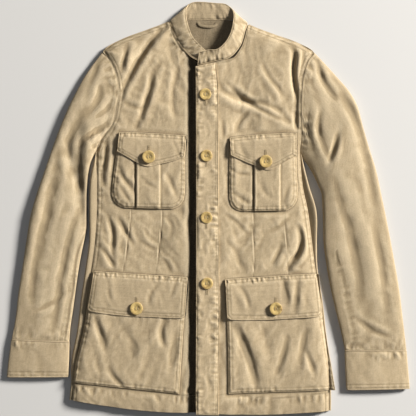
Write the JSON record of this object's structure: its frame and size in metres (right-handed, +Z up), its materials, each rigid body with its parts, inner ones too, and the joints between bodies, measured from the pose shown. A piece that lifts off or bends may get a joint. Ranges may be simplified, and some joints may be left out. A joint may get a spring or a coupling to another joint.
{
  "type": "safari jacket",
  "caption": "Cotton drill safari jacket laid flat, buttoned front up, with a stand collar, box-pleated chest pockets, large lower pockets and horn-look buttons.",
  "frame": {"origin": "middle of the jacket's outline, on the surface that it lies on", "axes": "+X to the wearer's left sleeve, +Y from the hem to the collar, +Z up from the surface, out of the buttoned front"},
  "size_m": [0.767, 0.7854, 0.0238],
  "materials": {
    "cloth": "matt cotton drill, washed",
    "horn": "polished horn look"
  },
  "bodies": {
    "root": {"back": "cloth", "front_right": "cloth", "front_left": "cloth", "placket": "cloth", "collar": "cloth", "hanger_loop": "cloth", "top_sleeve_right": "cloth", "under_sleeve_right": "cloth", "top_sleeve_left": "cloth", "under_sleeve_left": "cloth", "cuff_right": "cloth", "cuff_left": "cloth", "pocket_chest_right": "cloth", "pocket_chest_left": "cloth", "pocket_lower_right": "cloth", "pocket_lower_left": "cloth", "flap_chest_right": "cloth", "flap_chest_left": "cloth", "flap_lower_right": "cloth", "flap_lower_left": "cloth", "button_placket_1": "horn", "button_placket_2": "horn", "button_placket_3": "horn", "button_placket_4": "horn", "button_chest_right": "horn", "button_chest_left": "horn", "button_lower_right": "horn", "button_lower_left": "horn"}
  },
  "joints": []
}
